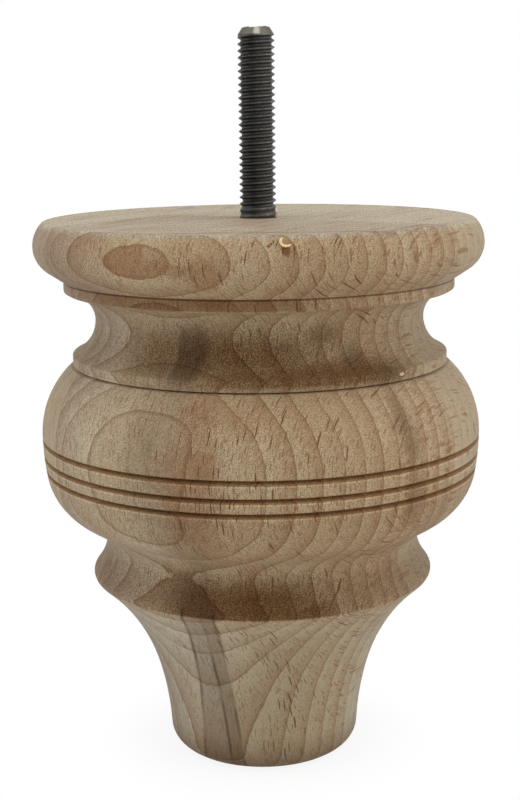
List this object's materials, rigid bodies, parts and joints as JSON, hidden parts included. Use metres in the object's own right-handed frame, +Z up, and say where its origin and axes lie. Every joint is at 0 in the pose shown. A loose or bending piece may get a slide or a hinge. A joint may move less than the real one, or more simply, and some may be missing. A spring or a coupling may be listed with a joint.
{
  "type": "furniture leg",
  "caption": "Turned wooden furniture leg with a rounded head, cove, grooved belly, flared lower bead and tapered foot, and a threaded mounting stud in its top face.",
  "frame": {"origin": "centre of the foot's flat face, on the turning axis", "axes": "+Z up along the turning axis and the stud; the leg is round, so +X and +Y are any two directions square to it"},
  "size_m": [0.0983, 0.0982, 0.1611],
  "materials": {
    "wood": "sanded, unfinished",
    "steel": "black oxide"
  },
  "bodies": {
    "root": {"turned_leg": "wood", "hanger_bolt": "steel"}
  },
  "joints": []
}
